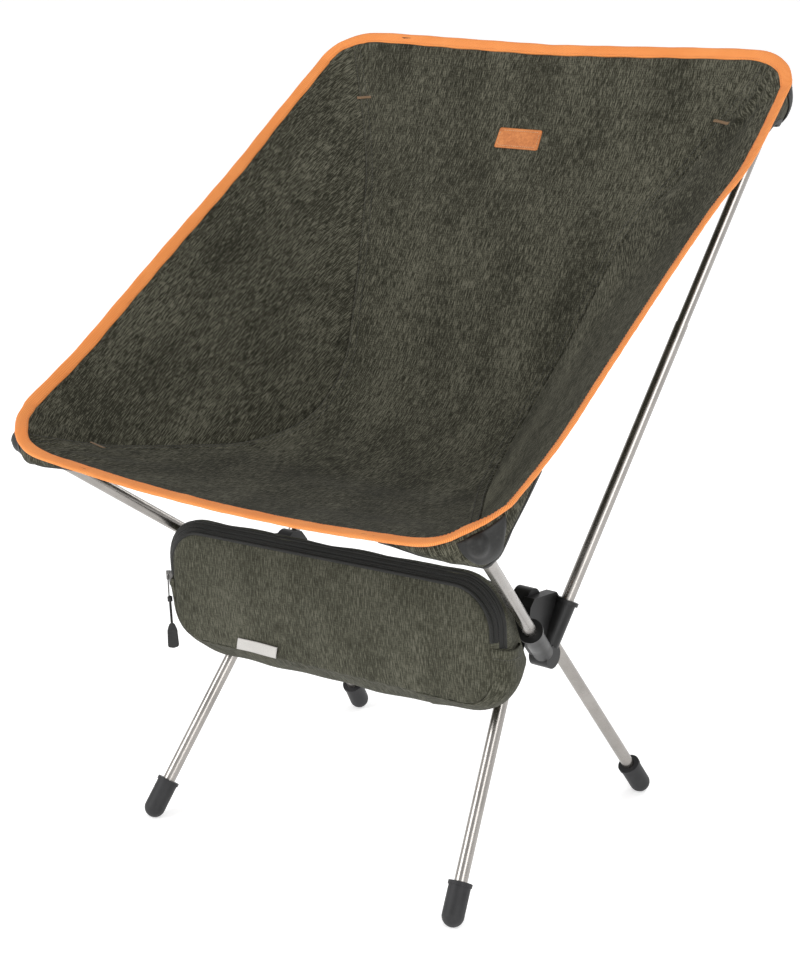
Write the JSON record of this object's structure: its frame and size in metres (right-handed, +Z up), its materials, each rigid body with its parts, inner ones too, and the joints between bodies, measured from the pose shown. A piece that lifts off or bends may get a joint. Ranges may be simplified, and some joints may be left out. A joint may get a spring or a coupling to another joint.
{
  "type": "ultralight backpacking chair",
  "caption": "Low pole-frame camping chair: a hung bucket sling on two hubs with pull-out legs, and a zipped storage bag under the seat.",
  "frame": {"origin": "middle of the footprint on the floor, under the whole chair", "axes": "+Z up, the chair faces -Y, +X is the sitter's left"},
  "size_m": [0.5, 0.4793, 0.6555],
  "materials": {
    "nylon": "moulded nylon, semi-gloss",
    "tube": "anodised grey, drawn, glossy",
    "bright_metal": "satin",
    "rubber": "matt",
    "plug_plastic": "matt",
    "shock_cord": "braided",
    "cap_plastic": "matt",
    "sling_cloth": "heathered plain weave",
    "binding": "ribbed tape",
    "pocket_patch": "coated, grained",
    "label_leather": "smooth",
    "bag_cloth": "heathered plain weave",
    "zip_tape": "woven tape with coil teeth",
    "zip_metal": "black enamel",
    "pull_plastic": "soft moulded",
    "tag_weave": "woven, blank"
  },
  "bodies": {
    "frame": {"hub_left": "nylon", "hub_right": "nylon", "crossbar": "tube", "crossbar_rivets": "bright_metal", "seat_pole_left": "tube", "seat_pole_right": "tube", "back_pole_lower_left": "tube", "back_pole_lower_right": "tube", "back_pole_upper_left": "tube", "back_pole_upper_right": "tube", "back_pole_ferrules": "bright_metal", "seat_pole_caps": "cap_plastic", "back_pole_caps": "cap_plastic", "seat_pole_cords": "shock_cord", "back_pole_cords": "shock_cord", "sling_centre": "sling_cloth", "sling_side_left": "sling_cloth", "sling_side_right": "sling_cloth", "edge_binding": "binding", "pocket_front_left": "pocket_patch", "pocket_front_right": "pocket_patch", "pocket_back_left": "pocket_patch", "pocket_back_right": "pocket_patch", "label_patch": "label_leather", "bag_shell": "bag_cloth", "zip_tape_fixed": "zip_tape", "bag_end_patch_left": "bag_cloth", "bag_end_patch_right": "bag_cloth", "bag_tag": "tag_weave", "bag_loop_left": "bag_cloth", "bag_loop_right": "bag_cloth"},
    "leg_front_left_body": {"leg_front_left": "tube", "foot_front_left": "rubber", "plug_front_left": "plug_plastic", "cord_front_left": "shock_cord"},
    "leg_front_right_body": {"leg_front_right": "tube", "foot_front_right": "rubber", "plug_front_right": "plug_plastic", "cord_front_right": "shock_cord"},
    "leg_rear_left_body": {"leg_rear_left": "tube", "foot_rear_left": "rubber", "plug_rear_left": "plug_plastic", "cord_rear_left": "shock_cord"},
    "leg_rear_right_body": {"leg_rear_right": "tube", "foot_rear_right": "rubber", "plug_rear_right": "plug_plastic", "cord_rear_right": "shock_cord"},
    "bag_door": {"bag_flap": "bag_cloth", "zip_tape_flap": "zip_tape"},
    "zip_runner": {"zip_slider": "zip_metal"},
    "zip_pull": {"zip_puller": "pull_plastic"}
  },
  "joints": [
    {"name": "leg_front_left_pull", "type": "slide", "parent": "frame", "child": "leg_front_left_body", "axis": [0.1324, -0.5784, -0.805], "range_m": [0, 0.034], "stiffness_N_per_m": 60, "springref_m": -0.1},
    {"name": "leg_front_right_pull", "type": "slide", "parent": "frame", "child": "leg_front_right_body", "axis": [-0.1324, -0.5784, -0.805], "range_m": [0, 0.034], "stiffness_N_per_m": 60, "springref_m": -0.1},
    {"name": "leg_rear_left_pull", "type": "slide", "parent": "frame", "child": "leg_rear_left_body", "axis": [0.1339, 0.5484, -0.8254], "range_m": [0, 0.034], "stiffness_N_per_m": 60, "springref_m": -0.1},
    {"name": "leg_rear_right_pull", "type": "slide", "parent": "frame", "child": "leg_rear_right_body", "axis": [-0.1339, 0.5484, -0.8254], "range_m": [0, 0.034], "stiffness_N_per_m": 60, "springref_m": -0.1},
    {"name": "bag_door_hinge", "type": "hinge", "parent": "frame", "child": "bag_door", "pos_m": [0, -0.1135, 0.222], "axis": [0.9992, 0, 0.0401], "range_deg": [0, 120]},
    {"name": "zip_run", "type": "slide", "parent": "frame", "child": "zip_runner", "axis": [-0.0401, 0, 0.9992], "range_m": [0, 0.016]},
    {"name": "zip_pull_swing", "type": "hinge", "parent": "zip_runner", "child": "zip_pull", "pos_m": [-0.1752, -0.11296, 0.21196], "axis": [-0.7065, 0.7071, -0.0284], "range_deg": [0, 120]}
  ]
}
